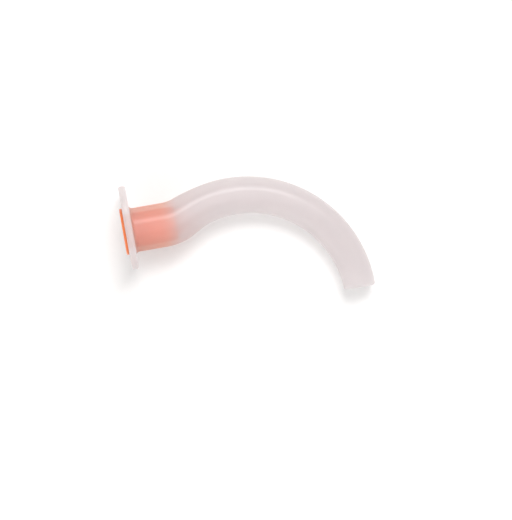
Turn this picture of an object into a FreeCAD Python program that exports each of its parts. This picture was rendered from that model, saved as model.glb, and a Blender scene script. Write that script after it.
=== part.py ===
import FreeCAD, Part
import math
import os

# Oropharyngeal airway, adult size, lying on its side as it comes to rest on a table.
#
# It is two mouldings. The body is one piece of milky, slightly flexible plastic: a flange that
# stays outside the lips, a straight bite section and a flattened tube that curves over the tongue.
# The insert is a stiff hollow bite block that is pushed into the body's mouth end. Its thin
# coloured rim shows outside the flange, and its sleeve shows through the wall of the body.
#
# Sizes are in millimetres and angles in degrees. The pieces are built in a working frame:
#   +X runs along the bite section, from the flange into the mouth,
#   +Y points to the palate, which is the outside of the main bend,
#   +Z points sideways, and the XY plane is the mid-plane of the airway.
# The outer face of the flange lies at X = 0. The height of a section is measured in the mid-plane
# and its width sideways. At the end the finished pieces are laid down together.

# Main bend of the centreline, from its crest over the tongue to the tip, and the knee in front
# of it, where the bite section turns up. The crest stands above the line of the bite section.
BEND_RADIUS = 41.9
CREST_HEIGHT = 6.2
CREST_BEYOND_INSERT = 22.0
TIP_ANGLE = 90.0
KNEE_RADIUS = 17.0

# Outside of the tube at the teeth, at the start of the main bend and at the tip
BITE_HEIGHT = 16.4
BITE_WIDTH = 18.6
BITE_CORNER = 6.6
BEND_HEIGHT = 14.3
BEND_WIDTH = 16.0
BEND_CORNER = 5.7
TIP_HEIGHT = 11.4
TIP_WIDTH = 13.6
TIP_CORNER = 4.5

# The shoulder, where the thick bite section narrows to the tube, starts round the insert's end
SHOULDER_LEAD = 4.0
SHOULDER_LENGTH = 17.0

# Walls of the body
BITE_WALL = 1.9
TIP_WALL = 1.7
TIP_OUTER_RADIUS = 0.8
TIP_INNER_RADIUS = 0.5

# Flange of the body, set a little towards the nose
FLANGE_THICKNESS = 2.6
FLANGE_HEIGHT = 31.0
FLANGE_WIDTH = 38.0
FLANGE_CORNER = 10.0
FLANGE_OFFSET = 1.1
FLANGE_CHAMFER = 0.5
FLANGE_ROOT_RADIUS = 1.3

# Bite insert
SLEEVE_LENGTH = 18.8
SLEEVE_WALL = 1.7
SLEEVE_LEAD = 0.5
RIM_HEIGHT = 17.4
RIM_WIDTH = 19.6
RIM_CORNER = 7.1
RIM_THICKNESS = 1.0
RIM_CHAMFER = 0.3
MOUTH_RADIUS = 0.8

# Fit of the insert in the body: the gap around its sleeve and behind its end
SLEEVE_CLEARANCE = 0.05
SLEEVE_END_GAP = 0.2

# Greatest distance between the sections of the curved tube, outside and inside
OUTER_SPACING = 3.0
LUMEN_SPACING = 4.0
CUT_OVERRUN = 1.0

# Search for the resting pose
SURFACE_TOLERANCE = 0.05
FIRST_LEAN = 0.1
LAST_LEAN = 0.000001
TRIES_PER_LEAN = 40
GOLDEN_ANGLE = math.radians(137.5)

# Sizes that follow from those above
SOCKET_DEPTH = SLEEVE_LENGTH + SLEEVE_END_GAP
SOCKET_HEIGHT = BITE_HEIGHT - 2 * BITE_WALL
SOCKET_WIDTH = BITE_WIDTH - 2 * BITE_WALL
SOCKET_CORNER = BITE_CORNER - BITE_WALL
SLEEVE_HEIGHT = SOCKET_HEIGHT - 2 * SLEEVE_CLEARANCE
SLEEVE_WIDTH = SOCKET_WIDTH - 2 * SLEEVE_CLEARANCE
SLEEVE_CORNER = SOCKET_CORNER - SLEEVE_CLEARANCE
LUMEN_HEIGHT = SLEEVE_HEIGHT - 2 * SLEEVE_WALL
LUMEN_WIDTH = SLEEVE_WIDTH - 2 * SLEEVE_WALL
LUMEN_CORNER = SLEEVE_CORNER - SLEEVE_WALL
SHOULDER_START = SOCKET_DEPTH - SHOULDER_LEAD
CREST_REACH = SOCKET_DEPTH + CREST_BEYOND_INSERT
KNEE_REACH = math.sqrt(CREST_HEIGHT * (2 * (BEND_RADIUS + KNEE_RADIUS) - CREST_HEIGHT))
KNEE_START = CREST_REACH - KNEE_REACH
KNEE_ANGLE = math.asin(KNEE_REACH / (BEND_RADIUS + KNEE_RADIUS))
KNEE_LENGTH = KNEE_RADIUS * KNEE_ANGLE
BEND_LENGTH = BEND_RADIUS * (KNEE_ANGLE + math.radians(TIP_ANGLE))
TUBE_LENGTH = KNEE_START + KNEE_LENGTH + BEND_LENGTH


def run_on(start, length, turn):
    """Pose at the end of a run that begins at the pose start and turns evenly by turn radians."""
    x, y, heading = start
    chord = length
    if turn != 0:
        chord = length * math.sin(turn / 2) / (turn / 2)
    middle = heading + turn / 2
    return (x + chord * math.cos(middle), y + chord * math.sin(middle), heading + turn)


def centreline(distance):
    """Placement on the centreline: local X points along the tube and local Y to the palate."""
    runs = [
        (KNEE_START, 0.0),
        (KNEE_LENGTH, 1 / KNEE_RADIUS),
        (BEND_LENGTH, -1 / BEND_RADIUS),
    ]
    pose = (0.0, 0.0, 0.0)
    left = distance
    for length, curvature in runs:
        step = min(left, length)
        pose = run_on(pose, step, step * curvature)
        left = left - step
    pose = run_on(pose, left, 0.0)
    x, y, heading = pose
    turned = FreeCAD.Rotation(FreeCAD.Vector(0, 0, 1), math.degrees(heading))
    return FreeCAD.Placement(FreeCAD.Vector(x, y, 0), turned)


def rounded_rectangle(height, width, corner):
    """Outline across the X axis, height along Y and width along Z, with round corners."""
    corner_y = height / 2 - corner
    corner_z = width / 2 - corner
    arcs = []
    for quarter, (side_y, side_z) in enumerate([(1, 1), (-1, 1), (-1, -1), (1, -1)]):
        centre = FreeCAD.Vector(0, side_y * corner_y, side_z * corner_z)
        points = []
        for step in (0, 45, 90):
            angle = math.radians(90 * quarter + step)
            spoke = FreeCAD.Vector(0, corner * math.cos(angle), corner * math.sin(angle))
            points.append(centre + spoke)
        arcs.append(points)
    edges = []
    for points, following in zip(arcs, arcs[1:] + arcs[:1]):
        edges.append(Part.Arc(*points).toShape())
        edges.append(Part.LineSegment(points[2], following[0]).toShape())
    return Part.Wire(edges)


def block(start, end, height, width, corner, offset=0.0):
    """Straight length of a rounded rectangle along X, from start to end."""
    outline = rounded_rectangle(height, width, corner)
    outline.translate(FreeCAD.Vector(start, offset, 0))
    return Part.Face(outline).extrude(FreeCAD.Vector(end - start, 0, 0))


def mix(first, second, share):
    """Sizes that lie between two sets of sizes, at a share of the way."""
    return [a + (b - a) * share for a, b in zip(first, second)]


def outer_sizes(distance):
    """Height, width and corner of the tube's outside: bite section, shoulder, even taper."""
    shoulder_end = SHOULDER_START + SHOULDER_LENGTH
    bite = (BITE_HEIGHT, BITE_WIDTH, BITE_CORNER)
    bend = (BEND_HEIGHT, BEND_WIDTH, BEND_CORNER)
    tip = (TIP_HEIGHT, TIP_WIDTH, TIP_CORNER)
    taper = mix(bend, tip, (distance - shoulder_end) / (TUBE_LENGTH - shoulder_end))
    along = min(max((distance - SHOULDER_START) / SHOULDER_LENGTH, 0.0), 1.0)
    return mix(bite, taper, along * along * (3 - 2 * along))


def lumen_sizes(distance):
    """Height, width and corner of the air way behind the insert, which starts flush with it."""
    socket = (LUMEN_HEIGHT, LUMEN_WIDTH, LUMEN_CORNER)
    tip = (TIP_HEIGHT - 2 * TIP_WALL, TIP_WIDTH - 2 * TIP_WALL, TIP_CORNER - TIP_WALL)
    return mix(socket, tip, (distance - SOCKET_DEPTH) / (TUBE_LENGTH - SOCKET_DEPTH))


def loft(places, sizes):
    """Solid through rounded rectangles at the places, with a set of sizes for each.

    The spans between them are ruled, and so short in the bends that they follow them.
    """
    sections = []
    for place, section_sizes in zip(places, sizes):
        section = rounded_rectangle(*section_sizes)
        section.Placement = place
        sections.append(section)
    return Part.makeLoft(sections, True, True)


def spaced(start, end, spacing):
    """Even distances from start to end, no further apart than the spacing."""
    count = math.ceil((end - start) / spacing)
    return [start + (end - start) * number / count for number in range(count + 1)]


def edges_across(shape, place, height, width):
    """Edges that lie in the placement's cross plane, inside a box of height by width."""
    tolerance = 0.01
    chosen = []
    for edge in shape.Edges:
        inside = True
        for point in edge.discretize(5):
            local = place.inverse().multVec(point)
            if abs(local.x) > tolerance:
                inside = False
            if abs(local.y) > height / 2 + tolerance or abs(local.z) > width / 2 + tolerance:
                inside = False
        if inside:
            chosen.append(edge)
    return chosen


def across(distance):
    """Placement of a cross plane at a distance along the X axis."""
    return FreeCAD.Placement(FreeCAD.Vector(distance, 0, 0), FreeCAD.Rotation())


def flange():
    """Plate outside the lips, with the edges of both faces bevelled."""
    sizes = (FLANGE_HEIGHT, FLANGE_WIDTH, FLANGE_CORNER)
    plate = block(0, FLANGE_THICKNESS, *sizes, offset=FLANGE_OFFSET)
    reach = FLANGE_HEIGHT + 2 * FLANGE_OFFSET
    mouth_side = edges_across(plate, across(0), reach, FLANGE_WIDTH)
    lip_side = edges_across(plate, across(FLANGE_THICKNESS), reach, FLANGE_WIDTH)
    return plate.makeChamfer(FLANGE_CHAMFER, mouth_side + lip_side)


def tube_outside():
    """Outside of the bite section and the curved tube, with the edge of its tip rounded."""
    distances = [0] + spaced(min(SHOULDER_START, KNEE_START), TUBE_LENGTH, OUTER_SPACING)
    places = [centreline(distance) for distance in distances]
    tube = loft(places, [outer_sizes(distance) for distance in distances])
    end = edges_across(tube, centreline(TUBE_LENGTH), TIP_HEIGHT, TIP_WIDTH)
    return tube.makeFillet(TIP_OUTER_RADIUS, end)


def lumen_behind_insert():
    """Air way of the body: it leaves the insert straight and then follows the centreline."""
    distances = spaced(SOCKET_DEPTH, TUBE_LENGTH + CUT_OVERRUN, LUMEN_SPACING)
    places = [across(SOCKET_DEPTH - CUT_OVERRUN), across(SOCKET_DEPTH)]
    sizes = [lumen_sizes(SOCKET_DEPTH)] * 2
    for distance in distances[1:]:
        places.append(centreline(distance))
        sizes.append(lumen_sizes(distance))
    return loft(places, sizes)


def airway_body():
    """Flange, bite section and curved tube in one, hollow from the flange to the tip."""
    body = flange().fuse(tube_outside()).removeSplitter()
    root = edges_across(body, across(FLANGE_THICKNESS), BITE_HEIGHT, BITE_WIDTH)
    body = body.makeFillet(FLANGE_ROOT_RADIUS, root)
    socket = block(-CUT_OVERRUN, SOCKET_DEPTH, SOCKET_HEIGHT, SOCKET_WIDTH, SOCKET_CORNER)
    body = body.cut(socket).cut(lumen_behind_insert())
    height, width, corner = lumen_sizes(TUBE_LENGTH)
    lip = edges_across(body, centreline(TUBE_LENGTH), height, width)
    return body.makeFillet(TIP_INNER_RADIUS, lip)


def bite_insert():
    """Hollow bite block: a sleeve inside the teeth and a thin rim outside the flange."""
    rim = block(-RIM_THICKNESS, 0, RIM_HEIGHT, RIM_WIDTH, RIM_CORNER)
    outer_edge = edges_across(rim, across(-RIM_THICKNESS), RIM_HEIGHT, RIM_WIDTH)
    rim = rim.makeChamfer(RIM_CHAMFER, outer_edge)
    sleeve = block(0, SLEEVE_LENGTH, SLEEVE_HEIGHT, SLEEVE_WIDTH, SLEEVE_CORNER)
    end = edges_across(sleeve, across(SLEEVE_LENGTH), SLEEVE_HEIGHT, SLEEVE_WIDTH)
    sleeve = sleeve.makeChamfer(SLEEVE_LEAD, end)
    lumen_end = SLEEVE_LENGTH + CUT_OVERRUN
    lumen = block(-RIM_THICKNESS - CUT_OVERRUN, lumen_end, LUMEN_HEIGHT, LUMEN_WIDTH, LUMEN_CORNER)
    insert = rim.fuse(sleeve).cut(lumen)
    mouth = edges_across(insert, across(-RIM_THICKNESS), LUMEN_HEIGHT, LUMEN_WIDTH)
    return insert.makeFillet(MOUTH_RADIUS, mouth)


def surface_points(shapes):
    """Points spread over the surfaces of the shapes."""
    points = []
    for shape in shapes:
        points.extend(shape.tessellate(SURFACE_TOLERANCE)[0])
    return points


def centre_of_mass(shapes):
    """Common centre of mass: the two plastics weigh about the same for their volume."""
    solids = [solid for shape in shapes for solid in shape.Solids]
    moment = FreeCAD.Vector()
    for solid in solids:
        moment = moment + solid.CenterOfMass * solid.Volume
    return moment / sum(solid.Volume for solid in solids)


def height_over_table(lean_x, lean_y, points, centre):
    """Height of the centre of mass, and the way down, when the airway leans by two slopes."""
    down = FreeCAD.Vector(lean_x, lean_y, -1).normalize()
    return max((point - centre).dot(down) for point in points), down


def resting_down(points, centre):
    """Direction that points down at rest.

    The airway starts on its side and leans by ever smaller steps, in directions that go round
    by the golden angle, for as long as that brings its centre of mass closer to the table.
    """
    lean_x = 0.0
    lean_y = 0.0
    lean = FIRST_LEAN
    direction = 0.0
    lowest, down = height_over_table(lean_x, lean_y, points, centre)
    while lean > LAST_LEAN:
        settled = True
        for attempt in range(TRIES_PER_LEAN):
            direction = direction + GOLDEN_ANGLE
            next_x = lean_x + lean * math.cos(direction)
            next_y = lean_y + lean * math.sin(direction)
            height, next_down = height_over_table(next_x, next_y, points, centre)
            if height < lowest:
                lowest, down = height, next_down
                lean_x, lean_y = next_x, next_y
                settled = False
                break
        if settled:
            lean = lean / 2
    return down


def resting_place(shapes):
    """Placement that lays the pieces on the table: bite section along X, palate side to +Y."""
    points = surface_points(shapes)
    under = [point for point in points if point.z < 0]
    up = resting_down(under, centre_of_mass(shapes)).negative()
    bite = FreeCAD.Vector(1, 0, 0)
    forward = (bite - up * bite.dot(up)).normalize()
    side = up.cross(forward)
    turn = FreeCAD.Rotation(forward, side, up, "ZXY").inverted()
    laid = [turn.multVec(point) for point in points]
    middle_x = (min(p.x for p in laid) + max(p.x for p in laid)) / 2
    middle_y = (min(p.y for p in laid) + max(p.y for p in laid)) / 2
    table = min(p.z for p in laid)
    return FreeCAD.Placement(FreeCAD.Vector(-middle_x, -middle_y, -table), turn)


def nominal_length():
    """Straight distance from the lip face of the flange to the middle of the tip."""
    tip = centreline(TUBE_LENGTH).Base
    return (tip - FreeCAD.Vector(FLANGE_THICKNESS, 0, 0)).Length


pieces = {"airway_body": airway_body(), "bite_insert": bite_insert()}
place = resting_place(list(pieces.values()))
os.makedirs("parts", exist_ok=True)
for name, shape in pieces.items():
    shape.Placement = place.multiply(shape.Placement)
    shape.exportStep("parts/" + name + ".step")
    print(name, "solids", len(shape.Solids), "volume", round(shape.Volume, 1), "valid", shape.isValid())
print("nominal length", round(nominal_length(), 1))
print("placement", place.toMatrix())
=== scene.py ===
import math

import bmesh
import bpy
from bpy.props import FloatProperty, FloatVectorProperty, PointerProperty
from mathutils import Matrix, Vector


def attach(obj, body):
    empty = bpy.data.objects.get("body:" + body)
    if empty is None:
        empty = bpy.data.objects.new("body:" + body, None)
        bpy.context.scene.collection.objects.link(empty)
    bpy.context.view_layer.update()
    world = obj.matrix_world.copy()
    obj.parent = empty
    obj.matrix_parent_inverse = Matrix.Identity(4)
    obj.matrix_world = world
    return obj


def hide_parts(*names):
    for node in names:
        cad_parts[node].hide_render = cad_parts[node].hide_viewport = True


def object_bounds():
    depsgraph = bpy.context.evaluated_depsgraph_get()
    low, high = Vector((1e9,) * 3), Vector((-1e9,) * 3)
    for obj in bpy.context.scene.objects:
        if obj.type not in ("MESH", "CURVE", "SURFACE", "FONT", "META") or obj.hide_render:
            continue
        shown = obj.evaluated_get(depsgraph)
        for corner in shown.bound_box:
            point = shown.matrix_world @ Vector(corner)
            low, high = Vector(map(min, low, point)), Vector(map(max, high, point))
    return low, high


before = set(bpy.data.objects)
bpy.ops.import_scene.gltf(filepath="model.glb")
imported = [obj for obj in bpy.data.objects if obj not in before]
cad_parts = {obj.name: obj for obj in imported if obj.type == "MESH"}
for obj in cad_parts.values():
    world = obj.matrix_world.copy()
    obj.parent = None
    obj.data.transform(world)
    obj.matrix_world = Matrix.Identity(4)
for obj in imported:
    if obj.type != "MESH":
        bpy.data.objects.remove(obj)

# Oropharyngeal airway: a milky tube with a lip flange, and an orange bite insert in its mouth end.
#
# The pieces are drawn in the airway's own frame and then laid on the table together:
#   X runs along the bite section, from the flange into the mouth,
#   Y points to the palate, which is the outside of the main bend,
#   Z points sideways, and the XY plane is the mid-plane of the airway.
# The outer face of the flange lies at X = 0.

bl_info = {
    "name": "Oropharyngeal airway",
    "version": (1, 0, 0),
    "blender": (4, 5, 0),
    "location": "3D View > Sidebar > Airway",
    "description": "Adds an oral airway with its bite insert, and a plain stage for it",
    "category": "Add Mesh",
}

CAD_LOW, CAD_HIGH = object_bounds()
IMAGE_WIDTH = 512
IMAGE_HEIGHT = 520

# How finely the mouldings are drawn: greatest distances between rings, in metres, and steps of a
# quarter turn
TUBE_SPACING = 0.001
AIR_WAY_SPACING = 0.0015
SLEEVE_SPACING = 0.002
EDGE_STEPS = 6
ROOT_STEPS = 7
SMALL_EDGE_STEPS = 5
# Width of the flat strip next to a rounding, which keeps its shading off the flat face
FLANGE_STRIP = 0.0004
NARROW_STRIP = 0.0003
# Length over which the air way eases from the insert's straight one into the curved tube
AIR_WAY_EASE = 0.004


# Colours and properties

def linear_from_hex(text):
    """Linear red, green and blue from an sRGB hex colour such as #FF8040."""
    channels = [int(text[place:place + 2], 16) / 255 for place in (1, 3, 5)]
    return tuple(c / 12.92 if c <= 0.04045 else ((c + 0.055) / 1.055) ** 2.4 for c in channels)


def length(name, description, metres):
    """A length that the user may change."""
    return FloatProperty(name=name, description=description, default=metres, min=0.0,
                         precision=5, unit="LENGTH")


def angle(name, description, degrees):
    """An angle that the user may change."""
    return FloatProperty(name=name, description=description, default=math.radians(degrees),
                         subtype="ANGLE", unit="ROTATION")


def location(name, description, metres):
    """A place, in metres, that the user may change."""
    return FloatVectorProperty(name=name, description=description, default=metres, size=3,
                               subtype="TRANSLATION", precision=5)


def power(name, description, watts):
    """The power of a lamp that the user may change."""
    return FloatProperty(name=name, description=description, default=watts, min=0.0, unit="POWER")


def share(name, description, value):
    """A share from 0 to 1 that the user may change."""
    return FloatProperty(name=name, description=description, default=value, min=0.0, max=1.0,
                         subtype="FACTOR")


def colour(name, description, text):
    """A colour that the user may change, given as sRGB hex."""
    return FloatVectorProperty(name=name, description=description, default=linear_from_hex(text),
                               min=0.0, max=1.0, size=3, subtype="COLOR")


class AirwayPlace(bpy.types.PropertyGroup):
    """How the airway lies on the table, on the edge of its flange and the side of its bend."""
    mouth: location("Mouth", "Middle of the bite section at the flange's outer face",
                    (-0.0424258, 0.00925603, 0.0197985))
    dip: angle("Dip", "How far the bite section points down, away from the flange", 10.5475)
    lean: angle("Lean", "How far the palate side leans down", 7.1378)


class BendSizes(bpy.types.PropertyGroup):
    """Centreline of the tube."""
    bend_radius: length("Bend radius", "Radius of the main bend over the tongue", 0.0419)
    crest_height: length("Crest height", "Height of the crest over the bite section's line", 0.0062)
    crest_beyond_insert: length("Crest beyond insert", "From the insert's end to the crest", 0.022)
    tip_angle: angle("Tip angle", "Turn of the main bend from its crest to the tip", 90.0)
    knee_radius: length("Knee radius", "Radius of the knee where the bite section turns up", 0.017)


class BodySizes(bpy.types.PropertyGroup):
    """Sections, walls and flange of the body."""
    bite_height: length("Bite height", "Height of the bite section", 0.0164)
    bite_width: length("Bite width", "Width of the bite section", 0.0186)
    bite_corner: length("Bite corner", "Corner radius of the bite section", 0.0066)
    bend_height: length("Bend height", "Height of the tube where the taper starts", 0.0143)
    bend_width: length("Bend width", "Width of the tube where the taper starts", 0.016)
    bend_corner: length("Bend corner", "Corner radius of the tube where the taper starts", 0.0057)
    tip_height: length("Tip height", "Height of the tube at the tip", 0.0114)
    tip_width: length("Tip width", "Width of the tube at the tip", 0.0136)
    tip_corner: length("Tip corner", "Corner radius of the tube at the tip", 0.0045)
    shoulder_lead: length("Shoulder lead", "From the shoulder's start to the insert's end", 0.004)
    shoulder_length: length("Shoulder length", "Length over which the bite section narrows", 0.017)
    bite_wall: length("Bite wall", "Wall round the insert", 0.0019)
    tip_wall: length("Tip wall", "Wall at the tip", 0.0017)
    tip_outer_radius: length("Tip outer radius", "Rounding of the tip's outer edge", 0.0008)
    tip_inner_radius: length("Tip inner radius", "Rounding of the tip's inner edge", 0.0005)
    flange_thickness: length("Flange thickness", "Thickness of the flange", 0.0026)
    flange_height: length("Flange height", "Height of the flange", 0.031)
    flange_width: length("Flange width", "Width of the flange", 0.038)
    flange_corner: length("Flange corner", "Corner radius of the flange's outline", 0.010)
    flange_offset: length("Flange offset", "Shift of the flange towards the nose", 0.0011)
    flange_rounding: length("Flange rounding", "Rounding of the flange's edges", 0.0008)
    flange_root: length("Flange root", "Fillet where the bite section meets the flange", 0.0013)


class InsertSizes(bpy.types.PropertyGroup):
    """Rim and sleeve of the bite insert."""
    sleeve_length: length("Sleeve length", "Length of the sleeve inside the body", 0.0188)
    sleeve_wall: length("Sleeve wall", "Wall of the sleeve", 0.0017)
    sleeve_lead: length("Sleeve lead", "Bevel at the sleeve's end", 0.0005)
    sleeve_clearance: length("Sleeve clearance", "Gap round the sleeve", 0.00005)
    sleeve_end_gap: length("Sleeve end gap", "Gap behind the sleeve's end", 0.0002)
    rim_height: length("Rim height", "Height of the rim outside the flange", 0.0174)
    rim_width: length("Rim width", "Width of the rim outside the flange", 0.0196)
    rim_corner: length("Rim corner", "Corner radius of the rim's outline", 0.0071)
    rim_thickness: length("Rim thickness", "Thickness of the rim", 0.001)
    rim_rounding: length("Rim rounding", "Rounding of the rim's outer edge", 0.0004)
    mouth_radius: length("Mouth radius", "Rounding of the air way's mouth", 0.0008)


class AirwayFinish(bpy.types.PropertyGroup):
    """Colours and finish of the two plastics."""
    body_colour: colour("Body colour", "Milky skin with a trace of lilac", "#DAD5D7")
    body_shade: colour("Body shade", "Slightly denser patches of the same plastic", "#D3CED1")
    body_depth: colour("Body depth", "Light that has gone through the wall", "#F5F0EF")
    body_depth_shade: colour("Body depth shade", "The same where the plastic is denser", "#EFEBEB")
    body_scatter: share("Body scatter", "Share of the light scattered on through the wall", 0.72)
    body_clearness: share("Body clearness", "Share of the light that goes straight through", 0.22)
    # The next five set a painted orange glow in the wall round the insert: its share, colour and
    # extent
    painted_glow_share: share("Body glow", "How strongly the insert colours the wall round it", 0.7)
    painted_glow_colour: colour("Glow colour", "Orange light inside the wall round the insert", "#FFCDA6")
    glow_rise: length("Glow rise", "Length over which the glow sets in behind the flange", 0.0004)
    glow_fade: length("Glow fade", "How far before the sleeve's end the glow starts to fade", 0.006)
    glow_reach: length("Glow reach", "How far past the sleeve's end the glow has gone", 0.002)
    body_roughness: share("Body roughness", "Satin of the mould's surface", 0.33)
    insert_colour: colour("Insert colour", "Orange polypropylene", "#FF9058")
    insert_shade: colour("Insert shade", "Orange where the pigment is denser", "#FF864E")
    insert_roughness: share("Insert roughness", "Gloss of the polished mould", 0.3)


class StageSettings(bpy.types.PropertyGroup):
    """Floor, lamps and camera."""
    floor_colour: colour("Floor colour", "White paper", "#F4F3F2")
    floor_shade: colour("Floor shade", "White paper where its pulp lies thinner", "#F2F1F0")
    floor_size: length("Floor size", "Side of the square floor", 3.0)
    floor_lift: share("Floor lift", "What the camera sees of the floor beyond its own light", 0.1)
    fade_start: length("Fade start", "Where the floor starts to fade into the background", 0.16)
    fade_end: length("Fade end", "Where the floor has gone into the background", 0.45)
    ambient: FloatProperty(name="Ambient", description="Strength of the light from all round",
                           default=0.5, min=0.0)
    key_place: location("Key place", "Where the main lamp hangs, from the airway's middle",
                        (0.25, 0.42, 0.8))
    key_size: length("Key size", "Side of the square main lamp", 0.35)
    key_power: power("Key power", "Light of the main lamp", 5.6)
    fill_place: location("Fill place", "Where the second lamp hangs, from the airway's middle",
                         (-0.5, -0.45, 0.65))
    fill_size: length("Fill size", "Side of the square second lamp", 0.8)
    fill_power: power("Fill power", "Light of the second lamp", 2.9)
    lens: FloatProperty(name="Lens", description="Focal length in millimetres", default=150.0,
                        min=1.0)
    view_width: length("View width", "Width of what the camera sees at the mid-plane", 0.192)
    view_centre: FloatVectorProperty(
        name="View centre", description="Point of the mid-plane in the middle of the image",
        default=(0.04625, -0.01889), size=2, precision=5, unit="LENGTH")
    view_side: length("View side", "How far the camera stands towards the flange", 0.046)
    view_roll: angle("View roll", "Slope of the bite section in the image", 10.0)


# Sections and centreline

def airway_matrix(place):
    """Matrix from the airway's own frame to the table."""
    return (Matrix.Translation(place.mouth) @ Matrix.Rotation(place.dip, 4, "Y")
            @ Matrix.Rotation(-place.lean, 4, "X"))


def socket_depth(insert):
    """Depth of the socket that the sleeve sits in."""
    return insert.sleeve_length + insert.sleeve_end_gap


def centreline_runs(bend, insert):
    """Length and curvature of each run: the bite section, the knee and the main bend."""
    both_radii = bend.bend_radius + bend.knee_radius
    reach = math.sqrt(bend.crest_height * (2 * both_radii - bend.crest_height))
    knee_angle = math.asin(reach / both_radii)
    straight = socket_depth(insert) + bend.crest_beyond_insert - reach
    return [
        (straight, 0.0),
        (bend.knee_radius * knee_angle, 1 / bend.knee_radius),
        (bend.bend_radius * (knee_angle + bend.tip_angle), -1 / bend.bend_radius),
    ]


def across(distance):
    """Matrix of a cross plane of the straight bite section."""
    return Matrix.Translation((distance, 0, 0))


def centreline(runs, distance):
    """Matrix on the centreline: X along the tube and Y to the palate."""
    matrix = Matrix.Identity(4)
    left = distance
    for run_length, curvature in runs:
        step = min(left, run_length)
        turn = step * curvature
        chord = step if turn == 0 else step * math.sin(turn / 2) / (turn / 2)
        half = Matrix.Rotation(turn / 2, 4, "Z")
        matrix = matrix @ half @ Matrix.Translation((chord, 0, 0)) @ half
        left = left - step
    return matrix @ Matrix.Translation((left, 0, 0))


def mix(first, second, amount):
    """Sizes between two sets of sizes."""
    return tuple(a + (b - a) * amount for a, b in zip(first, second))


def grown(sizes, amount):
    """Height, width and corner of an outline that lies further out by an amount."""
    height, width, corner = sizes
    return (height + 2 * amount, width + 2 * amount, corner + amount)


def outline(sizes, arc_steps=12, side_steps=4):
    """Points (y, z) round a rectangle with round corners, as many for any size."""
    height, width, corner = sizes
    arcs = []
    for quarter, (side_y, side_z) in enumerate([(1, 1), (-1, 1), (-1, -1), (1, -1)]):
        centre = Vector((side_y * (height / 2 - corner), side_z * (width / 2 - corner)))
        turns = [math.radians(90 * (quarter + step / arc_steps)) for step in range(arc_steps + 1)]
        arcs.append([centre + corner * Vector((math.cos(turn), math.sin(turn))) for turn in turns])
    points = []
    for arc, following in zip(arcs, arcs[1:] + arcs[:1]):
        points.extend(arc)
        for step in range(1, side_steps):
            points.append(arc[-1].lerp(following[0], step / side_steps))
    return points


def ring(matrix, sizes, offset=0.0):
    """Points of an outline in the cross plane of a matrix."""
    return [matrix @ Vector((0, y + offset, z)) for y, z in outline(sizes)]


def spaced(start, end, spacing):
    """Even distances from start to end, no further apart than the spacing."""
    count = max(1, math.ceil(abs(end - start) / spacing))
    return [start + (end - start) * number / count for number in range(count + 1)]


def quarter_turn(steps):
    """Sine and cosine at even steps of a quarter turn."""
    return [(math.sin(math.pi / 2 * step / steps), math.cos(math.pi / 2 * step / steps))
            for step in range(steps + 1)]


def skin(name, rings, matrix):
    """Closed mesh object through rings of points, the last joined to the first, and moved."""
    mesh = bmesh.new()
    loops = [[mesh.verts.new(point) for point in points] for points in rings]
    for first, second in zip(loops, loops[1:] + loops[:1]):
        for a, b, c, d in zip(first, first[1:] + first[:1], second[1:] + second[:1], second):
            mesh.faces.new((a, b, c, d))
    bmesh.ops.recalc_face_normals(mesh, faces=mesh.faces)
    bmesh.ops.transform(mesh, matrix=matrix, verts=mesh.verts)
    for face in mesh.faces:
        face.smooth = True
    data = bpy.data.meshes.new(name)
    mesh.to_mesh(data)
    mesh.free()
    piece = bpy.data.objects.new(name, data)
    bpy.context.scene.collection.objects.link(piece)
    return piece


# The two mouldings

def outer_sizes(body, bend_start, shoulder_length, total, distance):
    """Height, width and corner of the tube's outside: bite section, shoulder, even taper."""
    bite = (body.bite_height, body.bite_width, body.bite_corner)
    bend = (body.bend_height, body.bend_width, body.bend_corner)
    tip = (body.tip_height, body.tip_width, body.tip_corner)
    shoulder_end = bend_start + shoulder_length
    taper = mix(bend, tip, (distance - shoulder_end) / (total - shoulder_end))
    along = min(max((distance - bend_start) / shoulder_length, 0.0), 1.0)
    return mix(bite, taper, along * along * (3 - 2 * along))


def socket_sizes(body):
    """Height, width and corner of the socket for the sleeve."""
    return grown((body.bite_height, body.bite_width, body.bite_corner), -body.bite_wall)


def lumen_at_insert(body, insert):
    """Height, width and corner of the air way in the insert."""
    return grown(socket_sizes(body), -insert.sleeve_clearance - insert.sleeve_wall)


def flange_rings(body):
    """Rings over the flange, from the socket's mouth round its edge to the bite section."""
    edge = (body.flange_height, body.flange_width, body.flange_corner)
    shift = body.flange_offset
    radius = body.flange_rounding
    thickness = body.flange_thickness
    bite = (body.bite_height, body.bite_width, body.bite_corner)
    rings = [ring(across(0), socket_sizes(body))]
    rings.append(ring(across(0), grown(edge, -radius - FLANGE_STRIP), shift))
    for sine, cosine in quarter_turn(EDGE_STEPS):
        rings.append(ring(across(radius * (1 - cosine)), grown(edge, radius * (sine - 1)), shift))
    for sine, cosine in quarter_turn(EDGE_STEPS):
        place = across(thickness - radius * (1 - sine))
        rings.append(ring(place, grown(edge, radius * (cosine - 1)), shift))
    rings.append(ring(across(thickness), grown(edge, -radius - FLANGE_STRIP), shift))
    root = body.flange_root
    rings.append(ring(across(thickness), grown(bite, root + NARROW_STRIP)))
    for sine, cosine in quarter_turn(ROOT_STEPS):
        rings.append(ring(across(thickness + root * (1 - cosine)), grown(bite, root * (1 - sine))))
    return rings


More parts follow.
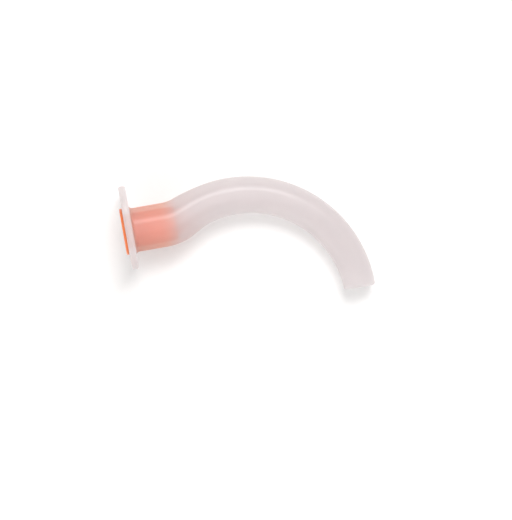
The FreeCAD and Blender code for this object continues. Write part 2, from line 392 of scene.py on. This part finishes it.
def tube_rings(bend, body, insert):
    """Rings along the outside of the tube, round the lip of its tip and back inside."""
    runs = centreline_runs(bend, insert)
    total = sum(run_length for run_length, _ in runs)
    depth = socket_depth(insert)
    shoulder = depth - body.shoulder_lead
    start = body.flange_thickness + body.flange_root

    def outside(distance):
        return outer_sizes(body, shoulder, body.shoulder_length, total, distance)

    def inside(distance):
        tip = grown((body.tip_height, body.tip_width, body.tip_corner), -body.tip_wall)
        return mix(lumen_at_insert(body, insert), tip, (distance - depth) / (total - depth))

    outer, inner = body.tip_outer_radius, body.tip_inner_radius
    rings = []
    for distance in spaced(start, total - outer, TUBE_SPACING)[1:]:
        rings.append(ring(centreline(runs, distance), outside(distance)))
    for sine, cosine in quarter_turn(EDGE_STEPS)[1:]:
        place = centreline(runs, total - outer * (1 - sine))
        rings.append(ring(place, grown(outside(total), outer * (cosine - 1))))
    for sine, cosine in quarter_turn(SMALL_EDGE_STEPS):
        place = centreline(runs, total - inner * (1 - cosine))
        rings.append(ring(place, grown(inside(total), inner * (1 - sine))))
    for distance in spaced(total - inner, depth + AIR_WAY_EASE, AIR_WAY_SPACING)[1:]:
        rings.append(ring(centreline(runs, distance), inside(distance)))
    rings.append(ring(across(depth), inside(depth)))
    rings.append(ring(across(depth), socket_sizes(body)))
    return rings


def insert_rings(body, insert):
    """Rings over the insert: its rim, the outside of the sleeve, its end and the air way."""
    rim = (insert.rim_height, insert.rim_width, insert.rim_corner)
    sleeve = grown(socket_sizes(body), -insert.sleeve_clearance)
    lumen = lumen_at_insert(body, insert)
    front = -insert.rim_thickness
    radius, mouth, lead = insert.rim_rounding, insert.mouth_radius, insert.sleeve_lead
    end = insert.sleeve_length
    rings = []
    for sine, cosine in quarter_turn(EDGE_STEPS):
        rings.append(ring(across(front + mouth * (1 - sine)), grown(lumen, mouth * (1 - cosine))))
    rings.append(ring(across(front), grown(rim, -radius - NARROW_STRIP)))
    for sine, cosine in quarter_turn(SMALL_EDGE_STEPS):
        rings.append(ring(across(front + radius * (1 - cosine)), grown(rim, radius * (sine - 1))))
    rings.append(ring(across(0), rim))
    for distance in spaced(0, end - lead, SLEEVE_SPACING):
        rings.append(ring(across(distance), sleeve))
    rings.append(ring(across(end), grown(sleeve, -lead)))
    rings.append(ring(across(end), lumen))
    for distance in spaced(end, front + mouth, SLEEVE_SPACING)[1:-1]:
        rings.append(ring(across(distance), lumen))
    return rings


# Materials

def add_node(material, kind, values=None, links=None, **settings):
    """Adds a shader node with its settings, its input values and its links."""
    node = material.node_tree.nodes.new(kind)
    for setting, value in settings.items():
        setattr(node, setting, value)
    for socket, value in (values or {}).items():
        node.inputs[socket].default_value = value
    for socket, output in (links or {}).items():
        material.node_tree.links.new(output, node.inputs[socket])
    return node


def new_material(name):
    """Empty node material."""
    material = bpy.data.materials.new(name)
    material.use_nodes = True
    material.node_tree.nodes.clear()
    return material


def own_coordinates(material, matrix):
    """Coordinates in the airway's own frame, which the matrix lays on the table."""
    table = add_node(material, "ShaderNodeTexCoord")
    own = add_node(material, "ShaderNodeMapping",
                   {"Location": matrix.to_translation(), "Rotation": matrix.to_euler()},
                   {"Vector": table.outputs["Object"]}, vector_type="TEXTURE")
    return own.outputs["Vector"]


def patches(material, coordinates, size, first, second):
    """Two colours in soft patches of about a size in metres."""
    noise = add_node(material, "ShaderNodeTexNoise", {"Scale": 1 / size, "Detail": 2.0},
                     {"Vector": coordinates})
    blend = add_node(material, "ShaderNodeMix", links={"Factor": noise.outputs["Fac"]},
                     data_type="RGBA")
    blend.inputs["A"].default_value = (*first, 1)
    blend.inputs["B"].default_value = (*second, 1)
    return blend.outputs["Result"]


def varied(material, coordinates, size, middle, spread):
    """A value that wanders about a middle in patches of about a size in metres."""
    noise = add_node(material, "ShaderNodeTexNoise", {"Scale": 1 / size, "Detail": 3.0},
                     {"Vector": coordinates})
    place = add_node(material, "ShaderNodeMapRange",
                     {"To Min": middle - spread, "To Max": middle + spread},
                     {"Value": noise.outputs["Fac"]})
    return place.outputs["Result"]


def parting_line(material, coordinates, width):
    """Height of the fine ridge that the mould leaves along the mid-plane, from 0 to 1."""
    axes = add_node(material, "ShaderNodeSeparateXYZ", links={"Vector": coordinates})
    side = add_node(material, "ShaderNodeMath", links={0: axes.outputs["Z"]}, operation="ABSOLUTE")
    ridge = add_node(material, "ShaderNodeMapRange",
                     {"From Max": width, "To Min": 1.0, "To Max": 0.0},
                     {"Value": side.outputs[0]}, interpolation_type="SMOOTHSTEP")
    return ridge.outputs["Result"]


def moulded_surface(material, coordinates, grain, grain_height, ridge_width, ridge_height):
    """Normal of a moulded surface: the mould's fine grain and the ridge at its parting line."""
    noise = add_node(material, "ShaderNodeTexNoise", {"Scale": 1 / grain, "Detail": 2.0},
                     {"Vector": coordinates})
    bumps = add_node(material, "ShaderNodeBump", {"Strength": 1.0, "Distance": grain_height},
                     {"Height": noise.outputs["Fac"]})
    ridge = add_node(material, "ShaderNodeBump", {"Strength": 1.0, "Distance": ridge_height},
                     {"Height": parting_line(material, coordinates, ridge_width),
                      "Normal": bumps.outputs["Normal"]})
    return ridge.outputs["Normal"]


def painted_glow_of_insert(material, coordinates, finish, start, end):
    """How much painted orange glow the wall takes on: from the flange on, with a soft end.

    This is painted light. Light goes to and fro between the sleeve and the milky wall, and gets
    more orange each time, more often than the shader follows it, so the rest of that orange is
    painted into the wall's colour here.
    """
    along = add_node(material, "ShaderNodeSeparateXYZ", links={"Vector": coordinates})
    behind_flange = add_node(material, "ShaderNodeMapRange",
                             {"From Min": start, "From Max": start + finish.glow_rise,
                              "To Max": finish.painted_glow_share},
                             {"Value": along.outputs["X"]}, interpolation_type="SMOOTHSTEP")
    before_end = add_node(material, "ShaderNodeMapRange",
                          {"From Min": end - finish.glow_fade, "From Max": end + finish.glow_reach,
                           "To Min": 1.0, "To Max": 0.0},
                          {"Value": along.outputs["X"]}, interpolation_type="SMOOTHSTEP")
    both = add_node(material, "ShaderNodeMath",
                    links={0: behind_flange.outputs["Result"], 1: before_end.outputs["Result"]},
                    operation="MULTIPLY")
    return both.outputs[0]


def moulded_polyethylene(finish, matrix, flange_thickness, sleeve_length):
    """Natural low-density polyethylene, injection moulded in a vapour-blasted mould.

    It has no pigment and is cloudy inside. Part of the light comes back from under the skin, most
    of it goes on through the wall and is scattered forward, and a little goes straight through, so
    the wall looks milky and what lies close behind it shows as a soft glow. Round the insert's
    sleeve that glow is partly real and partly a painted orange glow in the wall's colour. The
    blasted mould leaves a satin skin with wide, faint highlights.
    """
    material = new_material("natural_polyethylene_moulded")
    coordinates = own_coordinates(material, matrix)
    # Plastic thickens and cools unevenly over about a centimetre, seen as faint clouds
    clouds = patches(material, coordinates, size=0.011, first=finish.body_colour,
                     second=finish.body_shade)
    depths = patches(material, coordinates, size=0.008, first=finish.body_depth,
                     second=finish.body_depth_shade)
    # Painted orange glow along the sleeve, mixed into the wall's colour on top of the orange that
    # really shows through
    glow = painted_glow_of_insert(material, coordinates, finish, start=flange_thickness, end=sleeve_length)
    depths_with_painted_glow = add_node(material, "ShaderNodeMix", links={"Factor": glow, "A": depths},
                      data_type="RGBA")
    depths_with_painted_glow.inputs["B"].default_value = (*finish.painted_glow_colour, 1)
    # Handling marks change the satin in patches of about 6 mm
    satin = varied(material, coordinates, size=0.006, middle=finish.body_roughness, spread=0.03)
    # The blasted grain is under 0.1 mm, drawn here at 0.45 mm so that it shows
    normal = moulded_surface(material, coordinates, grain=0.00045, grain_height=0.000012,
                             ridge_width=0.00022, ridge_height=0.00005)
    # Polyethylene has an IOR of about 1.51. Only this share of the surface has a gloss, so both
    # values are raised until it is as strong as on the real skin.
    skin_light = add_node(material, "ShaderNodeBsdfPrincipled",
                          {"IOR": 1.6, "Specular IOR Level": 1.0},
                          {"Base Color": clouds, "Roughness": satin, "Normal": normal})
    inner_light = add_node(material, "ShaderNodeBsdfTranslucent",
                           links={"Color": depths_with_painted_glow.outputs["Result"], "Normal": normal})
    milky = add_node(material, "ShaderNodeMixShader", {"Fac": finish.body_scatter},
                     {1: skin_light.outputs[0], 2: inner_light.outputs[0]})
    straight_light = add_node(material, "ShaderNodeBsdfTransparent")
    wall = add_node(material, "ShaderNodeMixShader", {"Fac": finish.body_clearness},
                    {1: milky.outputs[0], 2: straight_light.outputs[0]})
    add_node(material, "ShaderNodeOutputMaterial", links={"Surface": wall.outputs[0]})
    return material


def moulded_polypropylene(finish, matrix):
    """Orange polypropylene, injection moulded in a polished mould.

    The pigment lets little light in, which keeps the colour vivid with a soft glow at thin edges,
    and the polished mould leaves a smooth skin with clear highlights.
    """
    material = new_material("orange_polypropylene_moulded")
    coordinates = own_coordinates(material, matrix)
    # Pigment streaks spread over about 5 mm
    streaks = patches(material, coordinates, size=0.005, first=finish.insert_colour,
                      second=finish.insert_shade)
    # Finger marks change the gloss in patches of about 3 mm
    gloss = varied(material, coordinates, size=0.003, middle=finish.insert_roughness, spread=0.04)
    # The polishing marks are far finer than 0.6 mm, and are drawn at that so that they show
    normal = moulded_surface(material, coordinates, grain=0.0006, grain_height=0.000006,
                             ridge_width=0.00022, ridge_height=0.00003)
    shader = add_node(
        material, "ShaderNodeBsdfPrincipled",
        {"IOR": 1.49, "Subsurface Weight": 0.35, "Subsurface Radius": (1.0, 0.35, 0.15),
         "Subsurface Scale": 0.0015},
        {"Base Color": streaks, "Roughness": gloss, "Normal": normal})
    add_node(material, "ShaderNodeOutputMaterial", links={"Surface": shader.outputs[0]})
    return material


def background_rays(material):
    """1 for rays that meet a plain white background: from the camera, a gloss or a clear piece."""
    path = add_node(material, "ShaderNodeLightPath")
    total = path.outputs["Is Camera Ray"]
    for name in ("Is Glossy Ray", "Is Transmission Ray"):
        both = add_node(material, "ShaderNodeMath", links={0: total, 1: path.outputs[name]},
                        operation="MAXIMUM")
        total = both.outputs[0]
    return total


def far_from_middle(material, near, far):
    """From 0 near the airway to 1 at a distance on the floor."""
    place = add_node(material, "ShaderNodeTexCoord")
    distance = add_node(material, "ShaderNodeVectorMath", links={0: place.outputs["Object"]},
                        operation="LENGTH")
    fade = add_node(material, "ShaderNodeMapRange", {"From Min": near, "From Max": far},
                    {"Value": distance.outputs["Value"]}, interpolation_type="SMOOTHSTEP")
    return fade.outputs["Result"]


def white_paper(stage):
    """Matte white paper. To the camera it is a little lighter than its own light makes it.

    Far from the airway the camera sees it as plain white, so that it meets the background unseen.
    """
    material = new_material("matte_white_paper")
    coordinates = add_node(material, "ShaderNodeTexCoord").outputs["Object"]
    # Pulp lies in clumps of about 2 mm, which differ in lightness by a hair
    clumps = patches(material, coordinates, size=0.002, first=stage.floor_colour,
                     second=stage.floor_shade)
    paper = add_node(material, "ShaderNodeBsdfPrincipled",
                     {"Roughness": 0.9, "Specular IOR Level": 0.2}, {"Base Color": clumps})
    seen = background_rays(material)
    lift = add_node(material, "ShaderNodeMath", {1: stage.floor_lift}, {0: seen},
                    operation="MULTIPLY")
    light = add_node(material, "ShaderNodeEmission", links={"Strength": lift.outputs[0]})
    near = add_node(material, "ShaderNodeAddShader",
                    links={0: paper.outputs[0], 1: light.outputs[0]})
    far = add_node(material, "ShaderNodeEmission", {"Strength": 1.0})
    fade = add_node(material, "ShaderNodeMath",
                    links={0: seen, 1: far_from_middle(material, stage.fade_start, stage.fade_end)},
                    operation="MULTIPLY")
    both = add_node(material, "ShaderNodeMixShader",
                    links={"Fac": fade.outputs[0], 1: near.outputs[0], 2: far.outputs[0]})
    add_node(material, "ShaderNodeOutputMaterial", links={"Surface": both.outputs[0]})
    return material


# Operators

def dress(piece, material, node):
    """Gives a piece its material and lets it stand for its CAD node."""
    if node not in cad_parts:
        raise RuntimeError("the packed model has no node named " + node)
    piece.data.materials.append(material)
    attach(piece, "root")
    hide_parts(node)


class AIRWAY_OT_add_body(bpy.types.Operator):
    """Add the body: flange, bite section and curved tube in one milky moulding"""
    bl_idname = "airway.add_body"
    bl_label = "Add Airway Body"
    bl_options = {"REGISTER", "UNDO"}

    def execute(self, context):
        scene = context.scene
        body, insert = scene.airway_body, scene.airway_insert
        matrix = airway_matrix(scene.airway_place)
        rings = flange_rings(body) + tube_rings(scene.airway_bend, body, insert)
        piece = skin("body_moulding", rings, matrix)
        material = moulded_polyethylene(scene.airway_finish, matrix, body.flange_thickness,
                                        insert.sleeve_length)
        dress(piece, material, "airway_body")
        return {"FINISHED"}


class AIRWAY_OT_add_insert(bpy.types.Operator):
    """Add the orange bite insert: a rim outside the flange and a sleeve inside the bite section"""
    bl_idname = "airway.add_insert"
    bl_label = "Add Bite Insert"
    bl_options = {"REGISTER", "UNDO"}

    def execute(self, context):
        scene = context.scene
        matrix = airway_matrix(scene.airway_place)
        rings = insert_rings(scene.airway_body, scene.airway_insert)
        piece = skin("insert_moulding", rings, matrix)
        material = moulded_polypropylene(scene.airway_finish, matrix)
        dress(piece, material, "bite_insert")
        return {"FINISHED"}


def add_floor(stage):
    """Square floor at the height of the table."""
    half = stage.floor_size / 2
    data = bpy.data.meshes.new("floor")
    corners = [(-half, -half, 0), (half, -half, 0), (half, half, 0), (-half, half, 0)]
    data.from_pydata(corners, [], [(0, 1, 2, 3)])
    floor = bpy.data.objects.new("floor", data)
    floor.location.z = CAD_LOW.z
    bpy.context.scene.collection.objects.link(floor)
    data.materials.append(white_paper(stage))


def add_lamp(name, place, size, watts):
    """Square soft lamp that hangs at a place from the airway's middle, and points at it."""
    data = bpy.data.lights.new(name, "AREA")
    data.size = size
    data.energy = watts
    lamp = bpy.data.objects.new(name, data)
    lamp.location = (CAD_LOW + CAD_HIGH) / 2 + Vector(place)
    lamp.rotation_euler = (-Vector(place)).to_track_quat("-Z", "Y").to_euler()
    bpy.context.scene.collection.objects.link(lamp)


def add_world(stage):
    """Even light from all round, and a plain white background."""
    world = bpy.data.worlds.new("studio")
    world.use_nodes = True
    world.node_tree.nodes.clear()
    seen = background_rays(world)
    strength = add_node(world, "ShaderNodeMapRange", {"To Min": stage.ambient, "To Max": 1.0},
                        {"Value": seen})
    light = add_node(world, "ShaderNodeBackground", {"Color": (1, 1, 1, 1)},
                     {"Strength": strength.outputs["Result"]})
    add_node(world, "ShaderNodeOutputWorld", links={"Surface": light.outputs[0]})
    bpy.context.scene.world = world


def add_camera(stage, place):
    """Camera over the airway's mid-plane, rolled so that the bite section rises to the right."""
    data = bpy.data.cameras.new("camera")
    data.lens = stage.lens
    camera = bpy.data.objects.new("camera", data)
    bpy.context.scene.collection.objects.link(camera)
    view_size = max(stage.view_width, stage.view_width * IMAGE_HEIGHT / IMAGE_WIDTH)
    distance = view_size * stage.lens / data.sensor_width
    centre = Matrix.Translation((*stage.view_centre, 0))
    turned = Matrix.Rotation(-math.asin(stage.view_side / distance), 4, "Y")
    back = Matrix.Translation((0, 0, distance))
    roll = Matrix.Rotation(-stage.view_roll, 4, "Z")
    camera.matrix_world = airway_matrix(place) @ centre @ turned @ back @ roll
    bpy.context.scene.camera = camera


class AIRWAY_OT_add_stage(bpy.types.Operator):
    """Add the floor, the soft studio lamps, the background and the camera"""
    bl_idname = "airway.add_stage"
    bl_label = "Add Stage"
    bl_options = {"REGISTER", "UNDO"}

    def execute(self, context):
        scene = context.scene
        stage = scene.airway_stage
        add_floor(stage)
        add_lamp("key", stage.key_place, stage.key_size, stage.key_power)
        add_lamp("fill", stage.fill_place, stage.fill_size, stage.fill_power)
        add_world(stage)
        add_camera(stage, scene.airway_place)
        scene.view_settings.view_transform = "Standard"
        return {"FINISHED"}


class AIRWAY_PT_panel(bpy.types.Panel):
    """Lists the airway's pieces, with their sizes and colours"""
    bl_idname = "AIRWAY_PT_panel"
    bl_label = "Airway"
    bl_space_type = "VIEW_3D"
    bl_region_type = "UI"
    bl_category = "Airway"

    def draw(self, context):
        for operator in OPERATORS:
            self.layout.operator(operator.bl_idname)
        for name, group in GROUPS.items():
            box = self.layout.box()
            box.label(text=group.__name__)
            settings = getattr(context.scene, name)
            for field in group.__annotations__:
                box.prop(settings, field)


GROUPS = {
    "airway_place": AirwayPlace,
    "airway_bend": BendSizes,
    "airway_body": BodySizes,
    "airway_insert": InsertSizes,
    "airway_finish": AirwayFinish,
    "airway_stage": StageSettings,
}
OPERATORS = (AIRWAY_OT_add_body, AIRWAY_OT_add_insert, AIRWAY_OT_add_stage)


def register():
    for group in GROUPS.values():
        bpy.utils.register_class(group)
    for operator in OPERATORS:
        bpy.utils.register_class(operator)
    bpy.utils.register_class(AIRWAY_PT_panel)
    for name, group in GROUPS.items():
        setattr(bpy.types.Scene, name, PointerProperty(type=group))


def unregister():
    for name in GROUPS:
        delattr(bpy.types.Scene, name)
    bpy.utils.unregister_class(AIRWAY_PT_panel)
    for operator in reversed(OPERATORS):
        bpy.utils.unregister_class(operator)
    for group in reversed(GROUPS.values()):
        bpy.utils.unregister_class(group)


def main():
    register()
    bpy.ops.airway.add_body()
    bpy.ops.airway.add_insert()
    bpy.ops.airway.add_stage()


if __name__ == "__main__":
    main()
